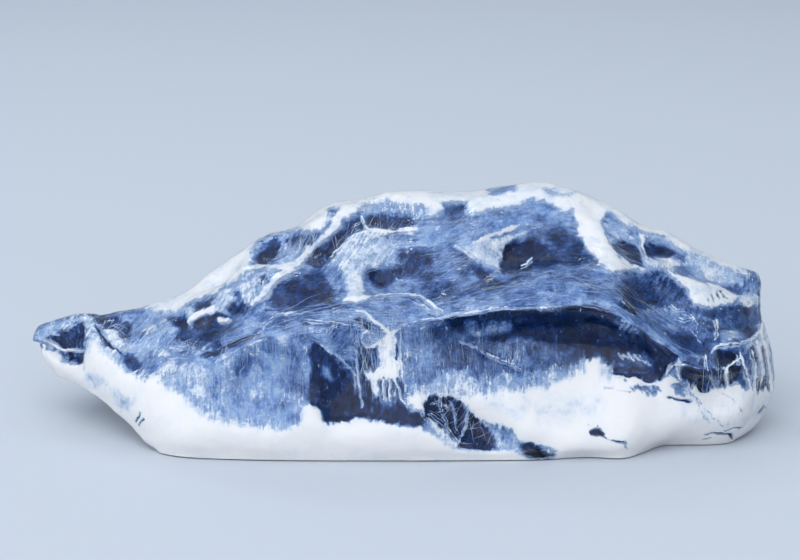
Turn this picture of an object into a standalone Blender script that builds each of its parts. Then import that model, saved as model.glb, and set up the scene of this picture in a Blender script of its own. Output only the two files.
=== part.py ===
"""A block of clear, melt-sculpted ice, resting on its flat base.

The block is one solid. Its long lines, called rails here, run from the thin nose at -X to the broken
end at +X. Sections between the rails are lofted into one closed skin, and melt scoops are then pressed
into that skin. Lengths are in millimetres until the mesh is made, where MM turns them into metres.
"""

import math

import bmesh
import bpy
import numpy as np
from mathutils import Vector, noise

MM = 0.001

# Driving dimensions, in millimetres.
LENGTH = 298.0
DEPTH = 124.0
HEIGHT = 90.5

# How finely the skin is divided: stations along the block, and rings on the broken end, whose unevenness
# is measured from a point of the spine inside the block.
STATIONS = 76
NOSE_CROWDING = 1.15
END_RINGS = 6
END_BULGE = 0.6
SPINE_INSET = 8.0

# Slow unevenness of the whole skin.
SWELL_SIZE = 26.0
SWELL_HEIGHT = 1.3
CHIP_SIZE = 9.0
CHIP_HEIGHT = 0.45
CHIP_OFFSET = Vector((7, 3, 1))

# A scoop presses only skin this near its middle. Its rim is softened this many times, and nothing
# presses or swells the base, or the skin just above it.
SCOOP_REACH = 22.0
RIM_PASSES = 1
BASE_MARGIN = 8.0

# Rails: each is a long line of the block, as points (x, y, z) from the nose to the broken end.
# They go round the section from the back foot, along the base, up the front and over the top.
HEEL = [(-145, 4, 25), (-134, 13, 16), (-116, 26, 6), (-98, 40, 0), (-70, 53, 0), (-30, 59, 0),
        (20, 61, 0), (70, 56, 0), (110, 44, 0), (132, 28, 0), (139, 12, 1)]
TOE = [(-144.5, -6, 24), (-139, -11, 18.5), (-132, -17, 17.5), (-127, -21, 16.5), (-121, -27, 15),
       (-115, -33, 12), (-108, -40, 8), (-102.5, -45.5, 3.5), (-97, -50.5, 0), (-88, -56, 0),
       (-76, -58.5, 0), (-12, -61, 0), (52, -60, 0), (70, -57, 0), (84, -59, 0), (93, -52, 0),
       (102, -43.5, 0), (116, -43.5, 0), (131, -39, 0), (140, -27, 1)]
BULGE = [(-145.5, -7, 27), (-139, -13, 22.5), (-127, -23, 21.5), (-115, -34, 20), (-102, -46, 16),
         (-88, -56, 12), (-60, -61, 13), (-12, -62, 15), (52, -61, 12), (70, -60, 11), (84, -60, 11),
         (96, -54, 13), (116, -50, 13), (134, -45, 13), (147.5, -23, 15)]
RECESS = [(-148, -6, 29), (-139, -12, 28), (-120, -26, 30), (-92, -45, 29), (-66, -56, 33),
          (-38, -56, 38), (-10, -50, 41), (20, -45, 43), (60, -43, 45), (84, -45, 41), (100, -48, 31),
          (116, -48, 25), (135, -42, 26), (147.5, -18, 26)]
LIP = [(-150, -5, 30.5), (-139, -10, 33), (-116, -20, 37), (-90, -38, 38), (-70, -49, 44), (-52, -53, 49),
       (-38, -53, 52), (-16, -50, 53), (2, -48, 51), (22, -50, 55), (52, -51, 57), (70, -51, 58),
       (82, -52, 54), (95, -53, 45), (109, -54, 34), (121, -53, 32), (134, -46, 35), (146.5, -13, 34)]
CREST = [(-149.5, -4, 33), (-139, -6, 36), (-116, -13, 40), (-88, -26, 46), (-64, -38, 54), (-40, -42, 59),
         (-10, -40, 59), (20, -39, 61), (52, -39, 67), (72, -39, 68), (84, -41, 65), (98, -44, 54),
         (112, -45, 45), (130, -36, 46), (143, -8, 43)]
BROW = [(-149, -2, 34.5), (-137, -2, 38), (-112, -3, 42), (-84, -8, 52), (-60, -14, 66), (-30, -16, 77),
        (0, -14, 80), (30, -12, 82), (60, -11, 84), (80, -12, 80), (100, -14, 70), (126, -14, 59),
        (144, -3, 51)]
RIDGE = [(-148, 0, 35.5), (-130, 2, 40), (-116, 5, 39), (-108, 6, 40), (-98, 8, 42.5), (-87, 9, 47),
         (-83, 10, 50.5), (-68, 12, 61), (-54, 14, 70.5), (-42, 16, 72.5), (-38, 17, 76), (-31, 18, 81.5),
         (-18, 19, 83.5), (-5, 20, 86.5), (27, 22, 85.5), (40, 21, 88), (55, 20, 89.5), (68, 18, 88),
         (84, 15, 81.5), (97, 12, 74), (107, 10, 72), (117, 8, 66), (132, 5, 59), (144, 3, 56)]
SHOULDER = [(-147, 4, 30), (-130, 14, 30), (-100, 32, 29), (-70, 45, 38), (-30, 49, 52), (20, 51, 56),
            (70, 47, 55), (110, 36, 45), (132, 24, 39), (143, 12, 34)]

# Each span of the section starts at its rail: the columns it is divided into, and how softly the skin
# turns over the rail, from 0, a crisp edge, to 1, a smooth bend.
SPANS = [
    ("heel", HEEL, 4, 0.0),
    ("toe", TOE, 5, 0.0),
    ("bulge", BULGE, 8, 1.0),
    ("recess", RECESS, 4, 0.9),
    ("lip", LIP, 4, 0.35),
    ("crest", CREST, 9, 0.9),
    ("brow", BROW, 9, 1.0),
    ("ridge", RIDGE, 9, 0.8),
    ("shoulder", SHOULDER, 8, 0.8),
]

# Melt scoops: a point on the skin, the way out of it, half the hollow's length and width, its depth,
# and the tilt of its length within the skin, in degrees from the X axis.
SCOOPS = [
    ("great_dish", (55, -15, 73), (0.05, -0.80, 0.60), 30, 16, 12, 10),
    ("dish_spoon", (66, -22, 70), (0.10, -0.75, 0.65), 13, 9, 13, 20),
    ("bright_facet", (84, -14, 76), (0.60, -0.45, 0.65), 11, 22, 5, 20),
    ("upper_pit", (91, -12, 73), (0.40, -0.45, 0.80), 8, 6, 5.5, 0),
    ("lower_pit", (102, -10, 69), (0.35, -0.45, 0.82), 8, 6.5, 5.5, 0),
    ("right_bowl", (97, -36, 58), (0.30, -0.60, 0.75), 17, 12, 8, -25),
    ("right_slab", (124, -13, 59), (0.15, -0.45, 0.88), 19, 8, 4.5, -20),
    ("end_bowl", (129, -32, 46), (0.10, -0.55, 0.83), 14, 10, 6.5, 0),
    ("middle_dish", (-2, -33, 66), (0.0, -0.62, 0.78), 23, 11, 8.5, 0),
    ("middle_spoon", (26, -30, 68), (0.0, -0.68, 0.73), 13, 9, 5.5, -15),
    ("snow_hollow", (-27, -30, 68), (0.10, -0.55, 0.83), 10, 15, 7, 30),
    ("top_slot", (-2, -4, 84), (0.0, -0.40, 0.92), 16, 6, 5.5, 0),
    ("top_nick", (19, -5, 84), (0.0, -0.40, 0.92), 7, 7, 5, 0),
    ("top_slope", (47, -3, 87), (0.0, -0.40, 0.92), 15, 6, 3.5, 5),
    ("trough", (-34, -17, 74), (-0.25, -0.45, 0.86), 22, 7, 8, 42),
    ("rim_pit", (-50, -10, 69), (-0.30, -0.35, 0.88), 10, 8, 6.5, 30),
    ("rim_step", (-72, -8, 57), (-0.40, -0.35, 0.84), 12, 8, 4.5, 30),
    ("cheek", (-74, -37, 47), (-0.30, -0.60, 0.74), 20, 10, 6.5, 15),
    ("crack_step", (-52, -44, 52), (-0.10, -0.60, 0.78), 16, 6, 4.5, 12),
    ("nose_dent", (-109, -17, 40), (-0.10, -0.45, 0.88), 13, 8, 4.5, 10),
    ("nose_flank", (-96, -35, 34), (-0.40, -0.80, 0.45), 13, 9, 4, 20),
    ("mouth", (-136, -15, 30), (-0.30, -0.92, 0.25), 12, 5.5, 6.5, -8),
    ("tip_notch", (-147, -9, 28), (-0.60, -0.80, -0.10), 5, 3, 4, 0),
    ("pale_face", (-56, -58, 30), (0.0, -0.95, 0.30), 27, 17, 6, 0),
    ("dark_wedge", (-20, -57, 26), (0.0, -0.93, 0.36), 15, 17, 6.5, -30),
    ("under_lip", (58, -45, 40), (0.0, -0.94, 0.34), 38, 11, 5.5, -4),
    ("pale_hollow", (66, -56, 22), (0.0, -0.94, 0.34), 22, 12, 4, 6),
    ("pocket", (28, -61, 15), (0.0, -0.92, 0.38), 24, 9, 7.5, -24),
    ("small_pocket", (53, -61, 7), (0.0, -0.95, 0.30), 9, 5, 4, -20),
    ("end_pit", (121, -50, 24), (0.10, -0.95, 0.10), 11, 8, 5, 0),
    ("end_foot", (139, -40, 12), (0.60, -0.78, 0.10), 9, 9, 4, 0),
    ("end_face_high", (146, 2, 40), (0.97, -0.20, 0.10), 10, 9, 4, 0),
    ("end_face_low", (147, 2, 17), (0.97, -0.20, -0.10), 14, 12, 5, 0),
    ("back_nose", (-108, 28, 22), (-0.35, 0.90, 0.20), 20, 11, 6, 0),
    ("back_left", (-66, 46, 30), (-0.20, 0.95, 0.20), 24, 17, 9, 12),
    ("back_middle", (-14, 54, 34), (0.0, 0.97, 0.22), 27, 20, 9, -10),
    ("back_right", (42, 54, 32), (0.05, 0.97, 0.22), 25, 18, 9, 14),
    ("back_end", (92, 46, 28), (0.30, 0.93, 0.15), 22, 15, 7.5, -8),
    ("roof_nose", (-86, 20, 42), (-0.30, 0.50, 0.80), 16, 10, 5, 10),
    ("roof_left", (-44, 34, 64), (-0.10, 0.60, 0.80), 22, 13, 8, 15),
    ("roof_middle", (8, 38, 72), (0.0, 0.62, 0.78), 25, 13, 8.5, -8),
    ("roof_right", (62, 36, 70), (0.05, 0.62, 0.78), 24, 13, 8, 8),
    ("roof_end", (108, 26, 56), (0.20, 0.62, 0.76), 18, 11, 6.5, 0),
    ("end_back", (136, 18, 28), (0.80, 0.60, 0.10), 10, 14, 5, 0),
]


def smooth_curve(points, where):
    """Points (x, ...) read at the values of where, as one smooth line with no overshoot in its slope."""
    points = np.array(points, float)
    x, values = points[:, 0], points[:, 1:]
    chord = np.diff(values, axis=0) / np.diff(x)[:, None]
    slope = np.zeros_like(values)
    slope[0], slope[-1] = chord[0], chord[-1]
    same_way = chord[:-1] * chord[1:] > 0
    slope[1:-1] = np.where(same_way, (chord[:-1] + chord[1:]) / 2, 0)
    limit = 3 * np.minimum(np.abs(chord[:-1]), np.abs(chord[1:]))
    slope[1:-1] = np.clip(slope[1:-1], -limit, limit)
    at = np.clip(np.searchsorted(x, where) - 1, 0, len(x) - 2)
    gap = x[at + 1] - x[at]
    s = ((where - x[at]) / gap)[:, None]
    gap = gap[:, None]
    return (
        (1 + 2 * s) * (1 - s) ** 2 * values[at]
        + s * (1 - s) ** 2 * gap * slope[at]
        + s**2 * (3 - 2 * s) * values[at + 1]
        - s**2 * (1 - s) * gap * slope[at + 1]
    )


def rail_line(rail, shares):
    """The rail's points at these shares of its length along X."""
    first, last = rail[0][0], rail[-1][0]
    x = first + (last - first) * shares
    return np.column_stack([x, smooth_curve(rail, x)])


def section_columns(lines):
    """A closed loop of columns through the rails, crisp or smooth at each as SPANS says."""
    columns = []
    count = len(lines)
    for k, (_, _, steps, softness) in enumerate(SPANS):
        before, start, end, after = (lines[(k + n) % count] for n in (-1, 0, 1, 2))
        next_softness = SPANS[(k + 1) % count][3]
        chord = end - start
        leave = chord + ((end - before) / 2 - chord) * softness
        arrive = chord + ((after - start) / 2 - chord) * next_softness
        for step in range(steps):
            s = step / steps
            columns.append(
                (1 + 2 * s) * (1 - s) ** 2 * start
                + s * (1 - s) ** 2 * leave
                + s**2 * (3 - 2 * s) * end
                - s**2 * (1 - s) * arrive
            )
    return np.stack(columns, axis=1)


def lofted_skin():
    """Rows of points from the nose to the middle of the broken end, and the spine that they surround."""
    shares = np.linspace(0, 1, STATIONS) ** NOSE_CROWDING
    lines = [rail_line(rail, shares) for _, rail, _, _ in SPANS]
    rows = section_columns(lines)
    spine = np.mean(lines, axis=0)
    rim, hub = rows[-1], spine[-1]
    rings = []
    for ring in range(1, END_RINGS):
        s = ring / END_RINGS
        inset = rim + (hub - rim) * s
        inset[:, 0] += END_BULGE * math.sin(math.pi / 2 * s)
        rings.append(inset)
    skin = np.concatenate([rows, np.stack(rings)])
    inner = spine[-1:] - (SPINE_INSET, 0, 0)
    spine = np.concatenate([spine, np.repeat(inner, len(rings), axis=0)])
    return skin, spine


def scoop_axes(outward, tilt):
    """The way along a scoop, the way across it and the way out of it, as rows."""
    out = Vector(outward).normalized()
    level = (Vector((1, 0, 0)) - out * out.x).normalized()
    rising = out.cross(level)
    turn = math.radians(tilt)
    run = level * math.cos(turn) + rising * math.sin(turn)
    return np.array([run, out.cross(run), out])


def softened(moves):
    """Moves of the skin's points, each averaged with its neighbours', which takes the steps off a rim."""
    for _ in range(RIM_PASSES):
        round_section = (np.roll(moves, 1, axis=1) + 2 * moves + np.roll(moves, -1, axis=1)) / 4
        padded = np.concatenate([round_section[:1], round_section, round_section[-1:]])
        moves = (padded[:-2] + 2 * padded[1:-1] + padded[2:]) / 4
    return moves


def scooped(skin):
    """The skin with the scoops pressed into it. Where two overlap the deeper one wins, leaving a ridge."""
    deepest = np.zeros(skin.shape[:2])
    moves = np.zeros_like(skin)
    for _, centre, outward, along, across, depth, tilt in SCOOPS:
        axes = scoop_axes(outward, tilt)
        local = (skin - centre) @ axes.T
        reach = (local[..., 0] / along) ** 2 + (local[..., 1] / across) ** 2
        near = np.abs(local[..., 2]) < SCOOP_REACH
        press = np.where(near, depth * np.maximum(1 - reach, 0), 0)
        wins = press > deepest
        moves[wins] = -press[wins][:, None] * axes[2]
        deepest = np.maximum(deepest, press)
    above_base = np.clip(skin[..., 2:] / BASE_MARGIN, 0, 1)
    return skin + softened(moves) * above_base


def uneven(skin, spine):
    """Slow swells and small chips, in and out from the spine, fading out on the flat base."""
    made = skin.copy()
    for i, row in enumerate(skin):
        for j, point in enumerate(row):
            out = Vector(point - spine[i]).normalized()
            swell = noise.noise(Vector(point) / SWELL_SIZE)
            chip = noise.noise(Vector(point) / CHIP_SIZE + CHIP_OFFSET)
            fade = min(1.0, max(0.0, point[2] / BASE_MARGIN))
            made[i, j] += np.array(out) * (swell * SWELL_HEIGHT + chip * CHIP_HEIGHT) * fade
    return made


def fitted(skin):
    """The skin at exactly its driving size, with its base centred on the origin."""
    low, high = skin.min(axis=(0, 1)), skin.max(axis=(0, 1))
    base_centre = np.array([(low[0] + high[0]) / 2, (low[1] + high[1]) / 2, low[2]])
    return (skin - base_centre) * np.array([LENGTH, DEPTH, HEIGHT]) / (high - low)


def skin_mesh(name, skin):
    """A closed mesh from rows of points, with one point at each end."""
    rows, columns = skin.shape[:2]
    bm = bmesh.new()
    grid = [[bm.verts.new(Vector(p) * MM) for p in row] for row in skin]
    nose = bm.verts.new(Vector(skin[0].mean(axis=0)) * MM)
    hub = bm.verts.new(Vector(skin[-1].mean(axis=0)) * MM)
    for j in range(columns):
        k = (j + 1) % columns
        bm.faces.new((nose, grid[0][k], grid[0][j]))
        bm.faces.new((hub, grid[-1][j], grid[-1][k]))
        for i in range(rows - 1):
            bm.faces.new((grid[i][j], grid[i][k], grid[i + 1][k], grid[i + 1][j]))
    bmesh.ops.recalc_face_normals(bm, faces=bm.faces[:])
    mesh = bpy.data.meshes.new(name)
    bm.to_mesh(mesh)
    bm.free()
    return mesh


def ice_material():
    material = bpy.data.materials.new("clear_ice")
    material.use_nodes = True
    shader = material.node_tree.nodes["Principled BSDF"]
    shader.inputs["Base Color"].default_value = (0.80, 0.88, 1.0, 1.0)
    shader.inputs["Roughness"].default_value = 0.05
    shader.inputs["IOR"].default_value = 1.31
    shader.inputs["Transmission Weight"].default_value = 1.0
    return material


def main():
    for obj in list(bpy.data.objects):
        bpy.data.objects.remove(obj)
    skin, spine = lofted_skin()
    skin = fitted(uneven(scooped(skin), spine))
    mesh = skin_mesh("ice_block", skin)
    mesh.materials.append(ice_material())
    block = bpy.data.objects.new("ice_block", mesh)
    bpy.context.scene.collection.objects.link(block)


main()
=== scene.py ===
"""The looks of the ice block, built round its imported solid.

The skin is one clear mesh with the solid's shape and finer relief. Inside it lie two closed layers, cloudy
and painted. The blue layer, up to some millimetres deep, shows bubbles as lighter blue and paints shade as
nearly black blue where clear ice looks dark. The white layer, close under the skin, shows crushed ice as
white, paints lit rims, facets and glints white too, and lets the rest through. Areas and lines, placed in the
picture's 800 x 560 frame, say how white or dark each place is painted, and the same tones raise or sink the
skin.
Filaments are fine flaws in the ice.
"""

import math

import bmesh
import bpy
import numpy as np
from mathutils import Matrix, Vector, noise
from mathutils.bvhtree import BVHTree


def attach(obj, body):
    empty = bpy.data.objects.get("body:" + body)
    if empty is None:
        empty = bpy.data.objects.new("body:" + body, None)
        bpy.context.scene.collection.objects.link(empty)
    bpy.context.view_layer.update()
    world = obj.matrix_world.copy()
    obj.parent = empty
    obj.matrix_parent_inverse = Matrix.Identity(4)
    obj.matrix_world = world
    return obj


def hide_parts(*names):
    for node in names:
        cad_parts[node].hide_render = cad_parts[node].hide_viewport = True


MM = 0.001

# Camera, in metres and degrees. FRAME is the picture's size in pixels.
TARGET = Vector((-0.0002, 0.001, 0.0546))
DISTANCE = 0.894
ELEVATION = 16.0
LENS = 100.0
SENSOR = 36.0
FRAME = (800, 560)

# Studio: each light has a name, a place and a size in metres, a power in watts and a colour.
WORLD_COLOUR = (0.81, 0.90, 1.0, 1)
WORLD_STRENGTH = 0.52
LIGHTS = [
    ("top_softbox", (-0.1, 0.1, 1.3), (2.2, 1.6), 7, (1.0, 1.0, 1.0)),
    ("ridge_light", (-0.5, 1.1, 1.2), (0.4, 0.15), 2.2, (0.72, 0.87, 1.0)),
    ("front_softbox", (-0.6, -2.0, 1.6), (6.0, 3.6), 110, (0.97, 0.98, 1.0)),
]
LIGHTS_AIM = Vector((0, 0, 0.04))
FLOOR_COLOUR = (0.50, 0.545, 0.61, 1)
FLOOR_ROUGHNESS = 0.8
FLOOR_SIZE = 12
FLOOR_TOP = -0.0003

# The clear ice.
ICE_IOR = 1.31
ICE_ABSORPTION = (0.10, 0.32, 0.58, 1.0)
ICE_DENSITY = 36.0
SMOOTHEST = 0.03
CRUSHED_ROUGHNESS = 0.22
BUMP_STRENGTH = 0.35
BUMP_HEIGHT = 0.0005
FLAW_COLOUR = (0.70, 0.83, 1.0, 1)
FLAW_ROUGHNESS = 0.9

# Noises of the materials: waves a metre along the streaks, across them and into the ice, or along X, Y and Z,
# then power, detail and roughness. Then how much of them shows.
NOISES = {
    "skin_patches": ((60, 60, 60), 0.10, 4, 0.6),
    "skin_streaks": ((120, 1400, 400), 0.5, 3, 0.6),
    "skin_grain": ((420, 420, 420), 0.5, 3, 0.6),
    "hairs": ((110, 2400, 500), 0.45, 3, 0.7),
    "strands": ((50, 420, 150), 0.85, 6, 0.75),
    "strokes": ((170, 900, 300), 0.65, 2, 0.5),
    "patches": ((110, 110, 110), 1.5, 4, 0.6),
    "clouds": ((130, 130, 130), 0.9, 10, 0.75),
    "grain": ((1300, 1300, 1300), 0.26, 3, 0.6),
    "flecks": ((300, 900, 500), 1.0, 3, 0.6),
}
PATCHES_MEAN = 0.55
FLECK_LEVEL = 0.18
FLECK_POWER = 3.4
DETAIL_BETWEEN = 2.8
DETAIL_CLEAR = 0.24
DETAIL_EVERYWHERE = 0.13

# Mesh: the longest edges allowed in metres, and the blur up to which an area's edge counts as sharp.
PLAIN_EDGE = 1.9 * MM
SHARP_EDGE = 1.0 * MM
LINE_EDGE = 0.65 * MM
SHARP_BLUR = 2
SPLIT_ROUNDS = 2
LIMIT_LEVELS = 3
COARSE_LEVELS = 1
FLAT = 0.01 * MM
SAME_POINT = 1e-6
QUAD_ANGLE = math.radians(60)
LIFT = 0.0005
SEEN = 0.02
SEEN_FADE = 0.10

# Layers, and the relief of the skin: depths and heights in metres, shares, and rounds of averaging.
FROST_DEPTH = 0.3 * MM
HAZE_DEPTH = 4.0 * MM
HAZE_LEAST = 0.8 * MM
HAZE_SHARE = 0.18
HAZE_RISE = 0.7
HAZE_ROUNDS = 40
ROUNDS = 6
RELIEF_ROUNDS = 4
RELIEF_PER_TONE = 1.3 * MM
LINE_RELIEF = 0.2
MIDDLE_TONE = 0.46
MIDDLE_POWER = 0.5

# Wandering noise: the size of its waves in metres, and its power. That is in pixels for the shifts and the
# fringe of the pattern, in metres for the relief and a part of the tone for the rest.
SLOW_SHIFT = (0.006, 2.8)
FAST_SHIFT = (0.0021, 2.0)
FRINGE = (0.0012, 5.0)
BACK_SHIFT = (0.012, 10.0)
LONG_GAPS = (0.0045, 0.55)
SHORT_GAPS = (0.0016, 0.35)
GAPS_MEAN = -0.06
BACK_CLOUDS = (0.03, 0.25)
SWELLS = (0.009, 0.45 * MM)
RIPPLES = (0.0036, 0.16 * MM)
ELSEWHERE = 0.3

# The low part of the front, where hanging fringes edge the areas: heights and fades in metres.
LOW_PART = 45 * MM
LOW_FADE = 12 * MM
FOOT = 7 * MM
FOOT_FADE = 6 * MM
FRINGE_STRETCH = (1, 1, 0.15)

# Margins in pixels round lines and areas. Then how wide lines spread past their half width, how hard their
# edges are, how far out the mesh is finer, and how much of the slow and the fast shifts moves them.
LINE_MARGIN = 6
AREA_MARGIN = 5
LINE_SPREAD = 1.4
LINE_HARDNESS = 1.5
LINE_REACH = -0.9
FAR_OFF = -9.0
LINE_SLOW = 0.5
LINE_FAST = 0.6

# The front's pattern is laid on the back by height: stations along the length at which the height is taken,
# and the Y of the front's foot in metres.
STATIONS = 80
FRONT_FOOT_Y = -0.06

# Filaments: their steps in pixels, how they bend, where they stop, and their tubes. SIZES, DEPTHS and LENGTHS
# are the least and the most of the measures that FILAMENTS gives.
SEED = 7
TRIES = 4
STEP = 3
LOOK = 4
LEAST_STEPS = 4
BEND = 0.09
BEND_KEPT = 0.85
GRAZING = -0.15
LONGEST_GAP = 0.005
SIZES = (0.6, 1.5)
DEPTHS = (0.3, 1.5)
LENGTHS = (0.4, 1.3)
THIN_END = 0.25
TUBE_SIDES = 4
SKEW = (0.31, 0.57, 0.76)

# For a tone from 0, clear, to 1, crushed white: the layer's cover and its colour there. Low tones stand
# for painted shade, and high tones also for painted light.
# The white layer's high stops paint lit rims, facets and glints white, as well as crushed ice.
FROST_AND_LIGHT_TONES = [
    (0.00, 0.00, (0.34, 0.54, 0.95)),
    (0.30, 0.03, (0.34, 0.54, 0.95)),
    (0.50, 0.12, (0.38, 0.60, 0.98)),
    (0.65, 0.38, (0.48, 0.67, 0.98)),
    (0.80, 0.84, (0.68, 0.79, 0.95)),
    (0.92, 1.00, (0.85, 0.885, 0.94)),
    (1.00, 1.00, (0.95, 0.945, 0.95)),
]
# The blue layer's low stops are painted shade: a nearly black blue that covers most of the view into clear
# ice.
HAZE_AND_SHADE_TONES = [
    (0.00, 0.86, (0.001, 0.012, 0.060)),
    (0.12, 0.80, (0.005, 0.034, 0.16)),
    (0.30, 0.77, (0.055, 0.145, 0.40)),
    (0.45, 0.79, (0.18, 0.33, 0.70)),
    (0.60, 0.84, (0.38, 0.59, 0.96)),
    (0.72, 0.92, (0.60, 0.77, 1.0)),
    (1.00, 1.00, (0.92, 0.94, 0.97)),
]

# The line that long streaks follow across the front, as x,y places in the picture.
FLOW_LINE = (
    "0,360 150,352 205,350 250,332 300,316 350,306 400,312 450,306 520,288 570,282 620,292 660,326 700,352 "
    "760,356 800,356")

# Streaks of each grain: their direction in degrees, None along the flow line, and their strength.
GRAINS = {
    "cloud": (90.0, 0.15),
    "upright": (90.0, 1.0),
    "mottle": (90.0, 0.45),
    "flow": (None, 0.52),
    "fan": (55.0, 0.9),
    "slant": (-32.0, 1.0),
    "speck": (90.0, 0.05),
    "web": (78.0, 1.0),
}

# Fine filaments: name, count, length in pixels, direction in degrees or None along the flow line, its spread,
# radius and depth in mm, and the corners of the area they start in.
FILAMENTS = [
    ("collar_silk", 110, 60, None, 5, 0.045, 1.2,
     "400,300 520,270 610,272 660,318 664,334 615,304 519,310 405,330"),
    ("crease_silk", 90, 50, None, 7, 0.05, 1.0, "200,345 250,318 330,296 400,300 400,330 300,335 215,360"),
    ("pocket_web", 46, 26, 60, 45, 0.06, 0.8, "430,402 470,408 520,440 550,456 500,446 450,440"),
    ("end_web", 40, 28, 92, 10, 0.07, 0.7, "700,385 776,380 770,425 700,425"),
    ("strand_web", 90, 36, 90, 3, 0.08, 1.0, "352,340 402,338 402,404 352,402"),
    ("pit_hairs", 60, 26, 68, 9, 0.08, 0.8, "284,246 316,238 310,262 286,266"),
    ("snow_hairs", 130, 26, 62, 16, 0.08, 0.9, "330,250 352,236 400,238 380,262 346,290"),
    ("facet_hairs", 60, 20, -32, 9, 0.07, 0.7, "596,214 606,218 616,244 634,264 610,250"),
    ("nose_hairs", 120, 16, 40, 40, 0.08, 0.8, "92,318 150,320 200,350 170,378 110,345"),
    ("face_hairs", 110, 26, 88, 10, 0.06, 1.2, "212,360 300,345 305,420 230,418"),
    ("haze_hairs", 90, 20, 90, 3, 0.045, 1.2, "402,335 520,350 540,380 402,395"),
    ("top_hairs", 80, 46, 30, 14, 0.05, 1.2, "404,230 470,225 480,262 430,295"),
]
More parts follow.
